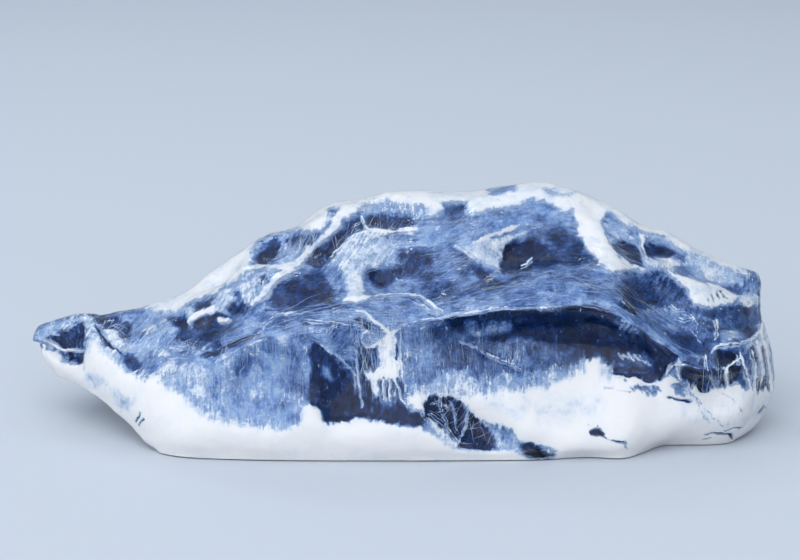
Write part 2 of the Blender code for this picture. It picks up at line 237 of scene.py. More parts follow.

# Areas: name, tone, blur in pixels, grain, and corners as x,y places. Later areas lie over earlier ones.
# Their tones are partly cloudy ice and partly painted light and shade: low tones paint shade where clear ice
# looks dark, and high tones paint lit rims, facets and glints white as well as crushed ice.
AREAS = [
    # the nose
    ("nose_top", 0.68, 6, "fan",
     "30,335 60,316 95,310 130,317 160,306 215,316 212,345 190,380 160,388 128,378 96,352 84,335 60,340"),
    ("nose_tip", 0.62, 4, "cloud", "26,345 36,326 48,320 62,319 60,328 46,338 40,348"),
    ("nose_bridge", 0.76, 4, "fan", "84,362 84,338 86,322 92,317 97,326 98,340 102,352"),
    ("nose_roof", 0.13, 4, "fan", "90,311 118,315 132,318 131,338 120,336 104,328 94,318"),
    ("nose_patch", 0.86, 4, "cloud", "102,328 118,332 128,344 118,348 106,340"),
    ("nose_hollow", 0.18, 3, "fan", "121,350 133,350 141,362 141,372 132,369 122,360"),
    ("nose_swirl", 0.46, 5, "fan", "140,350 156,346 158,372 146,378 140,364"),
    ("neck", 0.59, 6, "fan", "128,316 158,310 180,316 178,342 160,348 134,346"),
    ("neck_dark", 0.1, 3, "fan", "164,316 182,312 191,315 190,324 176,324"),
    # the foot: crushed ice, with painted light shining through the lower edge
    ("foot", 0.99, 4, "speck",
     "30,350 43,345 58,352 64,362 84,366 86,354 97,347 102,352 114,362 130,372 145,381 154,378 168,386 "
     "180,392 198,405 212,417 226,421 251,427 276,428 298,426 298,412 306,404 318,404 323,411 325,421 "
     "344,421 359,415 372,420 400,424 423,427 438,435 456,448 485,450 516,451 530,459 560,460 560,480 "
     "100,480 20,390"),
    ("mouth", 0.08, 2, "cloud",
     "44,340 53,336 62,329 71,324 81,320 86,323 84,332 82,341 81,347 71,348 61,347 53,343"),
    ("mouth_low", 0.1, 2, "cloud", "62,351 83,352 83,363 75,363 68,359 64,357"),
    ("jaw_shade", 0.86, 5, "cloud", "84,370 100,374 118,390 140,402 126,406 104,386 84,380"),
    ("jaw_blue", 0.8, 4, "cloud", "116,400 128,400 131,410 124,413"),
    # the pale face and the cheek
    ("face_edge", 0.72, 8, "upright",
     "158,368 180,360 206,362 212,392 232,416 226,422 200,406 180,392 160,380"),
    ("face_foot", 0.8, 5, "upright",
     "186,398 206,410 232,418 262,420 300,420 302,427 252,428 230,424 204,416 188,404"),
    ("pale_face", 0.56, 6, "mottle",
     "210,372 216,362 240,350 276,338 300,340 310,352 311,376 308,398 302,404 298,426 265,427 236,422 "
     "216,408 208,390"),
    ("face_streak", 0.48, 4, "upright", "208,374 217,376 218,396 210,392"),
    ("face_mottle", 0.25, 5, "mottle", "236,360 248,360 250,378 238,378"),
    ("face_mottle_top", 0.48, 4, "mottle", "264,341 276,340 276,352 266,352"),
    ("face_right", 0.46, 6, "mottle", "282,352 308,352 306,396 286,392"),
    ("arch_band", 0.44, 4, "flow", "204,366 208,356 240,343 276,330 304,322 306,328 276,338 242,350 214,364"),
    ("arch_white", 0.78, 4, "flow", "272,330 284,325 290,332 288,346 278,346"),
    ("cheek", 0.2, 4, "flow", "178,324 200,318 222,322 232,330 212,342 186,346 176,338"),
    ("cheek_side", 0.58, 6, "flow", "164,348 184,346 206,352 208,364 190,366 164,362"),
    ("cheek_lilac", 0.54, 3, "speck", "220,332 236,327 249,329 247,335 234,340 218,342"),
    ("cheek_cleft", 0.0, 1.5, "cloud",
     "199,354 208,345 218,341 226,343 238,338 256,330 257,332 244,339 229,347 214,356 206,353"),
    ("wedge", 0.07, 3, "mottle",
     "311,341 321,344 334,356 344,369 353,379 358,392 366,400 382,404 404,402 408,410 424,414 427,426 "
     "400,424 372,421 358,415 344,421 325,421 323,408 310,403 308,392 310,378 312,366 309,351"),
    ("wedge_top", 0.12, 5, "cloud", "311,343 322,346 334,360 330,368 316,366"),
    ("wedge_spot", 0.5, 3, "cloud", "323,370 330,368 334,379 327,380"),
    # the middle
    ("middle", 0.52, 6, "flow",
     "244,318 264,306 318,304 345,298 400,297 450,290 450,330 400,345 352,350 336,352 318,342 300,334 "
     "262,334 246,330"),
    ("silk_white", 0.38, 3, "flow", "258,318 300,305 352,300 356,304 318,310 262,326"),
    ("silk_dark", 0.02, 3, "flow", "300,318 330,320 356,324 350,330 326,326 302,322"),
    ("swirl", 0.36, 4, "fan", "326,324 346,322 360,330 358,346 340,350 328,340"),
    ("lens_low", 0.14, 1.5, "speck", "353,316 360,315 367,319 375,326 370,329 361,325"),
    ("eyelid_floor", 0.46, 5, "cloud", "386,303 404,301 420,306 430,313 410,320 392,324"),
    ("strand_bed", 0.26, 4, "upright", "356,346 378,348 404,336 404,402 385,406 366,400 358,380"),
    ("strand_top", 0.84, 3, "upright", "376,339 390,334 401,338 401,368 378,368"),
    ("strand_band", 0.96, 2, "upright", "362,373 374,369 401,367 404,380 378,381 364,379"),
    ("strand_low", 0.9, 2, "upright", "369,378 379,378 379,398 372,396"),
    ("strand_comb", 0.36, 2, "upright", "379,381 402,378 403,392 396,402 380,402"),
    ("haze_bed", 0.32, 8, "mottle",
     "400,328 445,322 500,345 560,345 600,350 612,364 584,362 560,374 533,384 507,380 469,390 441,388 "
     "404,392"),
    ("haze_left", 0.5, 6, "mottle", "402,326 430,324 438,350 436,380 403,384"),
    ("recess", 0.05, 3, "mottle",
     "444,322 469,316 508,311 520,309 546,312 580,306 594,303 607,307 616,315 624,322 640,329 655,335 "
     "666,343 674,350 668,364 664,382 655,384 633,377 612,374 612,364 604,354 580,350 546,344 520,340 "
     "500,344 470,338 450,330"),
    ("recess_veil", 0.48, 4, "upright", "466,327 490,325 514,327 512,336 490,337 468,336"),
    # painted sparkle
    ("recess_sparkle", 0.24, 3, "slant", "612,352 630,352 650,360 654,370 632,366 614,362"),
    ("recess_brush", 0.28, 4, "fan", "612,326 624,318 640,326 640,338 622,338"),
    ("recess_pale", 0.42, 5, "upright", "500,346 520,345 534,350 532,361 506,360"),
    ("haze_pale", 0.74, 4, "upright", "444,372 466,370 468,386 446,388"),
    ("haze_pale_far", 0.76, 4, "upright", "502,372 513,371 514,387 503,387"),
    # the white bank on the right: crushed ice, with painted light shining through the lower edge
    ("bank", 1.0, 3, "cloud",
     "408,406 411,396 422,387 441,388 457,392 469,391 495,384 508,380 533,385 546,378 559,373 580,362 "
     "596,358 610,364 614,375 634,378 647,384 660,382 667,377 677,378 687,386 700,390 714,386 741,384 "
     "754,387 768,392 780,380 795,388 795,480 556,480 556,454 545,448 521,440 505,429 480,419 469,410 "
     "457,399 444,396 431,396 427,402 424,414 414,408"),
    ("bank_fade", 0.66, 5, "upright",
     "405,386 440,380 500,376 560,366 584,360 584,370 546,386 500,392 460,396 440,392 410,394"),
    ("bank_grey", 0.93, 7, "cloud", "480,398 520,394 600,396 610,412 560,424 510,420"),
    ("bank_step", 0.8, 5, "cloud", "598,362 612,366 612,378 600,376"),
    ("shelf_blue", 0.38, 2, "flow", "631,386 646,385 658,388 661,392 650,395 636,391"),
    ("shelf_far", 0.58, 2, "slant", "671,384 682,382 690,390 695,400 684,398 675,392"),
    ("end_grey", 0.95, 6, "web", "686,396 770,394 766,425 704,430 672,414"),
    ("pocket", 0.05, 2, "web",
     "427,402 431,397 444,397 457,400 469,411 480,420 488,430 497,446 492,449 470,448 459,448 440,436 "
     "428,424 424,416"),
    ("pocket_snow", 0.86, 3, "web", "424,418 434,420 450,434 460,447 452,447 438,436"),
    ("pocket_bridge", 0.72, 3, "web", "480,418 492,424 505,431 516,440 521,447 512,450 498,447"),
    ("pocket_mix", 0.46, 2, "web", "491,426 502,430 514,440 512,446 504,442 497,434"),
    ("pocket_tail", 0.08, 2, "cloud", "521,446 530,443 541,448 549,456 541,458 526,453"),
    ("tail_grey", 0.6, 2, "cloud", "530,441 545,447 559,450 554,456 548,456 540,448"),
    # the top, from the left
    # The rim is white partly from crushed ice and partly as painted rim light along the top.
    ("rim", 0.93, 3, "cloud",
     "110,300 150,309 176,312 196,300 219,291 239,277 251,262 254,248 266,236 290,232 320,229 328,222 "
     "346,217 362,209 380,205 400,204 424,206 428,218 442,212 445,206 468,206 470,217 476,211 495,209 "
     "518,205 531,200 543,200 550,207 560,211 571,209 600,209 622,223 640,230 660,236 676,246 690,256 "
     "712,264 740,273 790,268 600,150 300,150"),
    ("rim_blue", 0.5, 3, "cloud", "486,188 515,184 516,191 490,195"),
    ("rim_blue_far", 0.74, 3, "cloud", "544,189 574,192 570,198 546,195"),
    ("rim_spot", 0.46, 3, "cloud", "328,208 340,208 339,218 329,219"),
    ("blotch", 0.84, 4, "fan", "186,308 214,298 232,288 242,282 246,288 232,302 222,312 204,318 188,324"),
    ("blotch_dark", 0.12, 3, "fan", "190,306 198,299 211,297 206,308 194,312"),
    ("blotch_low", 0.18, 2, "fan", "192,324 204,316 220,312 230,314 222,322 200,328"),
    ("blotch_right", 0.12, 2, "fan", "224,308 232,302 243,302 243,314 230,312"),
    ("blotch_gap", 0.3, 2, "fan", "232,290 240,288 241,301 233,302"),
    ("grey_swirl", 0.7, 3, "web", "241,274 254,269 268,270 264,286 256,300 242,304"),
    ("grey_swirl_dark", 0.22, 2, "fan", "256,276 263,272 266,277 260,283"),
    ("pit_up", 0.04, 3, "fan", "255,256 260,244 270,236 282,236 278,247 272,259 261,264"),
    ("pit_hairs", 0.6, 3, "fan", "280,236 300,234 322,236 311,249 296,262 278,263"),
    ("pit_roof", 0.24, 3, "fan", "284,235 300,233 318,232 314,243 300,246 286,246"),
    ("trough", 0.06, 2.5, "fan", "340,236 346,240 333,251 326,256 319,263 306,262 311,252 326,244 333,237"),
    ("trough_top", 0.16, 2.5, "cloud", "361,217 363,227 347,237 338,244 332,240 334,232 349,219"),
    ("under_diagonal", 0.12, 3, "flow",
     "263,301 276,281 292,274 311,267 326,269 340,277 342,290 333,297 294,305 272,305"),
    ("under_hairs", 0.5, 3, "fan", "319,264 332,258 342,268 342,296 334,296 326,276"),
    ("snow", 0.76, 4, "fan",
     "347,238 360,231 379,231 396,234 398,258 392,265 369,267 363,276 363,290 369,295 347,301 344,290 "
     "343,276 331,260"),
    ("snow_core", 0.86, 3, "cloud", "348,278 361,274 363,288 366,297 348,300"),
    ("lens", 0.1, 2.5, "cloud", "368,274 372,269 388,269 401,267 404,272 399,279 388,284 376,284 369,280"),
    ("lens_floor", 0.54, 3, "flow", "368,286 390,286 404,282 410,290 384,293"),
    ("slot", 0.62, 6, "upright",
     "363,213 366,205 382,202 402,203 418,206 428,212 424,222 412,229 390,229 368,224"),
    ("slot_top", 0.1, 4, "upright",
     "365,217 370,211 382,213 398,212 408,213 414,219 406,227 388,228 370,224"),
    ("top_silk", 0.56, 6, "flow", "384,238 404,232 424,222 446,218 474,222 466,240 440,248 400,250"),
    ("top_middle", 0.4, 7, "flow", "424,244 462,242 478,262 490,284 470,298 436,302 410,292"),
    # painted shade under the crest
    ("under_crest", 0.1, 4, "flow", "472,264 499,270 522,272 522,282 497,289 481,284"),
    ("top_hollow", 0.22, 5, "fan", "398,252 412,247 428,250 428,262 418,276 403,280 404,268"),
    ("top_hollow_low", 0.22, 5, "flow", "430,282 448,278 458,286 448,296 430,296"),
    ("nick", 0.2, 3, "cloud", "440,204 452,202 469,202 464,211 460,218 452,219 446,210"),
    ("nick_floor", 0.28, 3, "cloud", "447,211 461,210 458,219 451,219"),
    ("dish", 0.51, 5, "flow",
     "464,220 480,213 520,208 532,202 548,204 566,212 575,222 580,238 592,256 604,269 570,268 530,264 "
     "505,277 484,268 466,240"),
    ("dish_roof", 0.56, 4, "flow", "476,226 500,222 520,214 516,222 496,232 478,238"),
    ("dish_right", 0.16, 6, "flow", "546,232 568,226 580,240 594,262 570,264 552,250"),
    ("dish_floor", 0.06, 4, "cloud",
     "502,246 512,240 532,236 546,240 556,250 566,262 546,264 520,268 504,270 500,260"),
    # painted glitter on the crest
    ("crest_field", 0.82, 2, "cloud",
     "463,245 476,240 500,240 522,231 530,230 506,245 502,256 502,269 491,267 478,260 466,250"),
    ("collar", 0.42, 4, "flow",
     "404,304 436,306 470,296 506,282 536,268 560,266 604,271 630,282 640,300 660,314 676,330 690,346 "
     "682,356 672,350 655,335 624,321 607,306 593,302 546,311 519,308 469,314 444,320 405,326"),
    ("collar_lip", 0.5, 3, "flow",
     "440,314 452,304 490,297 520,299 546,304 590,296 606,298 626,312 656,328 672,345 666,345 650,333 "
     "624,321 607,307 593,303 546,312 520,309 469,315 444,321"),
    # The facet's white is partly crushed ice and partly painted light on a lit face.
    ("facet", 0.96, 2, "slant",
     "574,203 575,217 580,236 589,252 600,265 611,269 632,271 652,271 643,266 632,265 621,260 613,250 "
     "608,241 604,230 602,222 606,210 590,205"),
    ("facet_blue", 0.66, 3, "slant", "603,223 612,222 628,230 637,241 624,241 612,243 607,234"),
    ("pit_right", 0.09, 2, "slant",
     "613,242 625,240 637,244 641,251 643,261 650,268 637,265 629,260 620,252"),
    ("pit_bar", 0.97, 2, "cloud", "638,234 645,236 645,250 648,258 654,267 648,266 643,256 640,246"),
    ("pit_far", 0.12, 2, "slant", "645,244 654,242 668,244 675,251 671,257 661,258 648,253"),
    ("pit_shelf", 0.86, 3, "cloud", "643,258 670,257 680,262 672,270 654,269"),
    ("far_strip", 0.76, 3, "cloud", "689,250 712,262 745,276 745,286 722,284 698,276 684,262"),
    ("far_dark", 0.26, 2, "cloud", "728,285 742,284 744,294 738,293"),
    ("bowl", 0.24, 7, "fan", "616,284 634,273 664,270 688,284 692,300 670,306 640,308"),
    ("bowl_pit", 0.12, 4, "fan", "623,292 632,285 644,287 648,300 640,311 628,306"),
    ("end_dark", 0.24, 3, "flow", "691,306 714,311 737,304 757,308 757,316 732,316 711,321 695,314"),
    ("end_middle", 0.28, 5, "flow", "706,322 732,316 757,314 762,330 756,340 735,344 714,348 704,340"),
    ("end_streak", 0.64, 2.5, "flow", "721,331 738,329 748,336 726,341"),
    ("end_lace", 0.38, 4, "web", "661,304 684,305 706,314 714,332 694,332 674,320"),
    ("end_blue", 0.15, 5, "cloud", "668,326 690,330 711,336 712,350 698,354 682,348"),
    ("wing", 0.92, 2, "cloud",
     "666,269 682,276 698,283 714,286 729,290 740,297 732,302 721,306 711,308 702,306 693,302 689,295 "
     "682,286 671,274"),
    ("wing_tail", 0.82, 2, "web", "739,295 750,294 759,298 759,306 748,305 738,303"),
    ("end_edge", 0.56, 3, "upright", "745,272 764,273 762,297 745,296"),
    # the broken end
    ("cells", 0.32, 3, "web",
     "676,352 704,356 724,348 748,344 754,388 727,386 700,390 687,386 676,376 668,372"),
    ("cell_a", 0.0, 1.2, "cloud",
     "683,368 689,366 695,369 697,375 703,378 707,384 706,389 700,390 692,388 686,383 682,376"),
    ("cell_b", 0.0, 1.2, "cloud", "715,350 723,348 735,349 742,352 741,358 733,360 728,363 722,363 718,358"),
    ("cell_c", 0.0, 1.2, "upright", "730,366 735,362 739,366 742,374 742,383 736,386 729,386"),
    ("cell_d", 0.0, 1.2, "upright", "709,366 713,368 716,375 716,387 711,387 709,378"),
    ("cell_f", 0.0, 1.2, "upright", "716,370 721,372 725,376 726,382 723,386 718,386"),
    ("cell_e", 0.0, 1.5, "web", "668,352 684,356 686,362 674,364 666,374 660,380"),
    ("flank", 0.72, 3, "upright", "746,344 756,338 763,318 772,350 778,384 770,392 752,388"),
    ("flank_dark", 0.12, 1.5, "upright", "755,378 763,376 770,380 768,390 758,392"),
    ("flank_gap", 0.2, 1.5, "upright", "748,348 754,344 756,366 750,376"),
]

# Lines over the areas: name, tone, and points as x,y and half width. Bright lines are partly painted
# highlights and glints, and dark ones partly painted shade.
LINES = [
    ("mouth_lip", 0.95, "44,341,1.5 59,348,1.5 70,350,1.5 83,351,1.2"),
    ("nose_crack", 0.1, "96,326,1.2 102,337,1.4 109,345,1.5 119,351,1.3"),
    ("diagonal", 0.9,
     "340,213,3 333,229,3.6 319,242,4 308,251,4 299,261,4.6 286,270,4.4 276,277,3.6 269,285,3 260,296,2.4 "
     "251,304,1.6"),
    ("diagonal_low", 0.86, "294,262,3 280,266,3 268,267,2"),
    ("diagonal_left", 0.86, "240,270,3.4 256,266,3 270,266,2.4"),
    ("blotch_a", 0.97, "188,321,2.4 200,314,3 212,308,3"),
    ("spot", 0.98, "219,319,2.5 229,319,2.5"),
    ("cheek_crack", 0.05, "204,353,1.8 214,346,2.2 228,343,1.4 242,337,1.5 257,330,1.2"),
    ("arch_line", 0.68, "214,372,1.2 215,362,1.2 240,349,1.3 262,341,1.3"),
    ("silk_a", 0.7, "262,325,0.8 276,314,1.2 299,310,1.2 322,304,0.9"),
    ("silk_b", 0.84, "334,313,0.5 345,309,0.7 356,308,0.5"),
    ("silk_c", 0.12, "264,309,0.9 300,308,1.2 330,303,1.1 346,303,0.8"),
    ("silk_d", 0.88, "302,318,0.8 318,321,1 338,322,1 350,326,0.9"),
    # painted highlight along the slot
    ("slot_bar", 0.92, "362,216,0.8 366,226,1.4 369,230,2.2 383,231,2.2 400,230,2 416,228,2.2"),
    ("slot_arc", 0.84, "368,231,2 354,235,1.6 345,242,1.4 336,251,1.2 329,258,1"),
    ("bar_shade", 0.3, "381,236,0.8 400,238,1.4 418,237,0.9"),
    ("silk_top", 0.7, "386,245,0.8 402,244,1.3 418,243,1.2 436,244,0.8"),
    ("snow_foot", 0.97, "345,300,2.4 360,299,2.2 372,296,1.4"),
    ("eyelid", 0.9, "370,296,1.2 394,294,1 408,293,1 418,295,1.5 427,299,1.6 434,306,1.8 443,311,1.2"),
    ("eyelid_low", 0.78, "370,299,1 392,297,1 410,297,1 420,302,1.1 429,309,1.4 438,312,1.4"),
    ("fork_a", 0.88, "355,310,0.9 364,311,1.8 373,319,2 383,327,2 391,333,1.6 395,337,1.2"),
    ("fork_b", 0.78, "394,333,1.4 401,327,1.1 411,322,1 427,319,1 445,316,0.9"),
    ("lip_line", 0.8, "445,316,0.9 454,314,0.9 477,311,1 490,309,1 515,306,0.9"),
    ("knot_tail", 0.86, "378,345,1.4 384,338,1.8 391,334,2 398,330,1.4"),
    ("knot_left", 0.86, "361,340,0.9 362,334,1.6 367,331,1.2"),
    ("knot_low", 0.88, "362,343,1.2 367,347,2 374,346,1.8 378,342,1.2"),
    ("strand_left", 0.86, "357,350,0.7 358,376,0.9 361,405,0.7"),
    ("strand_right", 0.74, "400,333,0.9 401,361,1.1 406,392,1.1"),
    ("strand_dark", 0.24, "397,335,0.8 398,351,1.1 397,360,0.7"),
    ("strand_b", 0.9, "383,380,1 383,400,0.9"),
    ("strand_c", 0.9, "389,380,1 390,400,0.9"),
    ("strand_d", 0.9, "395,380,1.1 400,396,1.2 406,404,1"),
    ("swirl_a", 0.74, "312,342,0.8 322,346,0.9 333,353,1.2 341,358,1.2 348,366,1 356,376,0.8"),
    # painted highlight along the crest
    ("crest_line", 0.92, "477,241,1.8 495,234,2.6 508,229,2.6 520,224,1.4"),
    ("crest_left", 0.84, "456,244,1 466,252,1.4 478,262,1.2"),
    # painted highlight in the dish
    ("glint", 0.9, "521,264,1 527,261,1.9 532,256,1"),
    # painted highlight specks
    ("recess_mark", 0.6, "619,325,0.6 628,328,0.9 636,331,0.6"),
    ("recess_slash", 0.74, "462,342,0.7 480,348,0.8 500,359,0.8 514,364,0.8 530,374,0.6"),
    ("recess_lines", 0.3, "616,369,0.6 632,370,0.7 648,373,0.6"),
    # painted glints, stroke by stroke
    ("glint_stroke_a", 0.92, "617,353,0.5 623,357,0.8"),
    ("glint_stroke_b", 0.94, "622,354,0.5 629,359,0.9"),
    ("glint_stroke_c", 0.95, "627,354,0.6 634,360,0.9"),
    ("glint_stroke_d", 0.92, "632,355,0.5 639,361,0.8"),
    ("glint_stroke_e", 0.86, "637,357,0.4 644,363,0.7"),
    ("glint_stroke_f", 0.8, "642,361,0.4 649,366,0.6"),
    ("brush_stroke_a", 0.8, "619,331,0.4 624,325,0.7"),
    ("brush_stroke_b", 0.84, "623,332,0.4 628,326,0.7"),
    ("brush_stroke_c", 0.78, "628,333,0.4 632,328,0.6"),
    ("lace_a", 0.82, "670,304,0.4 678,309,0.7 685,308,0.4"),
    ("lace_b", 0.86, "676,316,0.4 684,320,0.8 691,318,0.4"),
    ("lace_c", 0.8, "685,311,0.4 693,317,0.7 699,325,0.4"),
    ("lace_d", 0.76, "690,326,0.4 698,332,0.6 702,338,0.4"),
    ("mouth_thread", 0.46, "77,325,0.4 77,345,0.5"),
    ("mouth_thread_low", 0.4, "66,332,0.3 67,346,0.4"),
    ("wing_nick_a", 0.1, "707,299,0.4 708,303,0.5"),
    ("wing_nick_b", 0.1, "712,296,0.4 713,302,0.6"),
    ("wing_nick_c", 0.1, "717,293,0.4 719,300,0.6"),
    ("web_a", 0.9, "431,412,0.5 442,420,0.55 451,430,0.55 459,443,0.6"),
    ("web_b", 0.86, "441,398,0.5 444,412,0.55 451,428,0.55 456,440,0.5"),
    ("web_c", 0.9, "468,408,0.5 468,421,0.55 464,432,0.55 459,443,0.6"),
    ("web_d", 0.7, "450,402,0.5 456,416,0.6 458,430,0.6"),
    ("web_e", 0.8, "433,404,0.4 440,402,0.5 447,405,0.5 450,412,0.5"),
    ("wing_gap", 0.12, "720,292,0.6 723,296,1.1 725,297,0.5"),
    # painted highlight on the end
    ("end_glint", 0.95, "717,319,1.3 718,327,1.5 718,335,1.3"),
    ("shelf_line", 0.94, "614,376,1.6 634,379,1.8 648,385,1.8 660,384,1.6 668,377,1.6"),
    ("shelf_dark", 0.1, "667,398,1.1 678,400,1.4 690,402,1"),
    ("cell_bar_a", 0.9, "666,375,1 669,367,1.3 677,364,1.3 687,365,0.8"),
    ("cell_bar_f", 0.92, "677,366,1.2 679,378,1.4"),
    ("cell_bar_b", 0.92, "705,355,0.8 708,367,1 711,379,1 716,388,0.8"),
    ("cell_bar_c", 1.0, "741,357,1 734,362,1.6 728,368,2 726,377,2 728,387,1.6"),
    ("cell_bar_d", 0.96, "740,352,1 745,365,1.4 749,381,1.4 751,388,1"),
    ("cell_bar_e", 0.7, "716,362,0.5 717,372,0.6 718,387,0.6"),
    ("flank_slot_b", 0.05, "762,346,0.6 765,364,1 767,378,0.8"),
    ("flank_slot_a", 0.05, "754,345,0.7 757,360,1.1 757,374,0.8"),
    ("flank_bar_b", 1.0, "762,338,0.9 765,352,1.4 770,372,1.5 771,390,1"),
    ("flank_bar_a", 0.98, "757,341,0.9 760,356,1.5 763,372,1.5 762,388,1"),
    ("cell_rim", 0.88, "712,349,1.2 725,344,1.3 741,342,1.3 754,338,1.3 762,326,1.1 762,319,1"),
    ("flank_a", 0.95, "763,316,1.4 761,334,1.5 766,356,1.3 774,384,1.3"),
    ("flank_b", 0.9, "752,350,1 756,366,1.1 754,388,1.1"),
    ("flank_c", 0.3, "770,334,1 771,352,1.2 776,372,1"),
    ("pit_low", 0.04, "591,432,2.4 597,433,3.4 603,434,2"),
    ("pit_tail", 0.2, "603,436,0.5 612,439,0.5 617,441,1.2 623,442,1.3 625,445,0.5 627,449,0.5"),
    ("pit_nose", 0.3, "137,421,0.8 140,417,1 142,412,0.5"),
    ("bubble_streak_far", 0.16, "590,285,0.5 600,280,0.9 612,276,0.5"),
    ("bubble_streak", 0.16, "544,287,0.5 556,289,0.8 570,291,0.5"),
    ("bubble_c", 0.1, "556,283,0.6 558,284,0.6"),
    ("bubble_b", 0.08, "550,270,0.7 552,271,0.7"),
    ("bubble_a", 0.1, "534,273,0.5 537,272,0.6"),
    ("pit_nose_low", 0.3, "140,424,0.7 145,419,0.9"),
    ("end_crack", 0.06, "706,434,0.4 714,433,0.8 722,433,1.5 729,434,1.9 732,439,1"),
    ("end_crack_top", 0.16, "724,430,0.5 734,428,0.5 742,427,0.4"),
    ("end_crack_low", 0.45, "704,439,0.5 712,437,0.5"),
    ("end_vein_left", 0.74, "684,387,0.7 697,401,0.7 710,414,0.6 722,426,0.4"),
    ("end_vein_low", 0.78, "694,400,0.6 702,412,0.6 709,423,0.4"),
    ("end_vein_right", 0.8, "716,390,0.6 731,399,0.7 742,412,0.5"),
    ("belly_vein", 0.8, "604,386,0.7 625,392,0.7 648,391,0.5"),
    ("end_spot", 0.2, "758,411,1.2 763,406,1.3"),
    ("foot_crack", 0.8, "330,455,0.8 336,459,0.8"),
]


def new_object(name, mesh):
    obj = bpy.data.objects.new(name, mesh)
    bpy.context.scene.collection.objects.link(obj)
    return obj


def smooth(x):
    """x held between 0 and 1, and eased at both ends."""
    x = np.clip(x, 0, 1)
    return x * x * (3 - 2 * x)


def spots(text):
    """The places in a text like "30,335 60,316", each with its half width where the text gives one."""
    return np.array([[float(number) for number in spot.split(",")] for spot in text.split()])


def areas():
    for _, tone, blur, grain, corners in AREAS:
        yield tone, blur, grain, spots(corners)


def lines():
    for _, tone, points in LINES:
        yield tone, spots(points)


class Picture:
    """The camera's frame: from points in space to picture places, and back onto the skin."""

    def __init__(self):
        tilt = math.radians(ELEVATION)
        self.eye = np.array(TARGET) + DISTANCE * np.array([0, -math.cos(tilt), math.sin(tilt)])
        self.ahead = np.array([0, math.cos(tilt), -math.sin(tilt)])
        self.above = np.array([0, math.sin(tilt), math.cos(tilt)])
        self.focal = FRAME[0] * LENS / SENSOR

    def places(self, points):
        away = points - self.eye
        depth = away @ self.ahead
        across = FRAME[0] / 2 + self.focal * away[:, 0] / depth
        down = FRAME[1] / 2 - self.focal * (away @ self.above) / depth
        return np.column_stack([across, down])

    def ray(self, x, y):
        way = self.ahead + np.array([1, 0, 0]) * (x - FRAME[0] / 2) / self.focal
        way = way + self.above * (FRAME[1] / 2 - y) / self.focal
        return way / np.linalg.norm(way)

    def on_skin(self, tree, x, y):
        """The point and the normal of the skin under a place of the picture, or None."""
        hit, normal, _, _ = tree.ray_cast(Vector(self.eye), Vector(self.ray(x, y)))
        if hit is None:
            return None
        return np.array(hit), np.array(normal)

    def camera(self):
        data = bpy.data.cameras.new("camera")
        data.lens = LENS
        data.sensor_width = SENSOR
        obj = new_object("camera", data)
        obj.location = self.eye
        obj.rotation_euler = Vector(self.ahead).to_track_quat("-Z", "Y").to_euler()
        bpy.context.scene.camera = obj


def area_light(name, place, size, power, colour):
    data = bpy.data.lights.new(name, "AREA")
    data.shape = "RECTANGLE"
    data.size, data.size_y = size
    data.energy = power
    data.color = colour
    obj = new_object(name, data)
    obj.location = place
    obj.rotation_euler = (LIGHTS_AIM - Vector(place)).to_track_quat("-Z", "Y").to_euler()


def studio():
    world = bpy.data.worlds.new("studio")
    bpy.context.scene.world = world
    world.use_nodes = True
    back = world.node_tree.nodes["Background"]
    back.inputs["Color"].default_value = WORLD_COLOUR
    back.inputs["Strength"].default_value = WORLD_STRENGTH
    for light in LIGHTS:
        area_light(*light)


def floor():
    bpy.ops.mesh.primitive_plane_add(size=FLOOR_SIZE, location=(0, 0, FLOOR_TOP))
    obj = bpy.context.object
    obj.name = "floor"
    nodes = Nodes("pale_floor")
    nodes.set(nodes.shader, Base_Color=FLOOR_COLOUR, Roughness=FLOOR_ROUGHNESS)
    obj.data.materials.append(nodes.material)


class Nodes:
    """Short calls for a material's node tree."""

    def __init__(self, name):
        self.material = bpy.data.materials.new(name)
        self.material.use_nodes = True
        self.tree = self.material.node_tree
        self.shader = self.tree.nodes["Principled BSDF"]

    def put(self, socket, value):
        """Sets a socket, or links it where the value is an output."""
        if isinstance(value, bpy.types.NodeSocket):
            self.tree.links.new(value, socket)
        else:
            socket.default_value = value

    def set(self, node, **inputs):
        """Puts values in a node's inputs. An underscore in a keyword stands for a space."""
        for key, value in inputs.items():
            self.put(node.inputs[key.replace("_", " ")], value)

    def add(self, kind, **inputs):
        node = self.tree.nodes.new("ShaderNode" + kind)
        self.set(node, **inputs)
        return node

    def maths(self, operation, *values, clamp=False):
        node = self.tree.nodes.new("ShaderNodeMath")
        node.operation = operation
        node.use_clamp = clamp
        for socket, value in zip(node.inputs, values):
            self.put(socket, value)
        return node.outputs[0]

    def chain(self, operation, *values):
        """The operation over all the values, in turn."""
        result = values[0]
        for value in values[1:]:
            result = self.maths(operation, result, value)
        return result

    def attribute(self, name, output="Fac"):
        node = self.add("Attribute")
        node.attribute_name = name
        return node.outputs[output]

    def moved(self, place, by):
        return self.add("Mapping", Vector=place, Location=(by, by, 0)).outputs["Vector"]

    def noise(self, place, name, share=1.0):
        """Noise that swings round 0, with its power times the share."""
        stretch, power, detail, rough = NOISES[name]
        scaled = self.add("Mapping", Vector=place, Scale=stretch).outputs["Vector"]
        wave = self.add("TexNoise", Vector=scaled, Scale=1.0, Detail=detail, Roughness=rough).outputs["Fac"]
        return self.maths("MULTIPLY", self.maths("SUBTRACT", wave, 0.5), 2 * power * share)

    def ramp(self, value, stops):
        node = self.add("ValToRGB", Fac=value)
        ramp = node.color_ramp
        while len(ramp.elements) < len(stops):
            ramp.elements.new(0.5)
        for element, (at, colour) in zip(ramp.elements, stops):
            element.position = at
            element.color = colour
        return node.outputs["Color"]


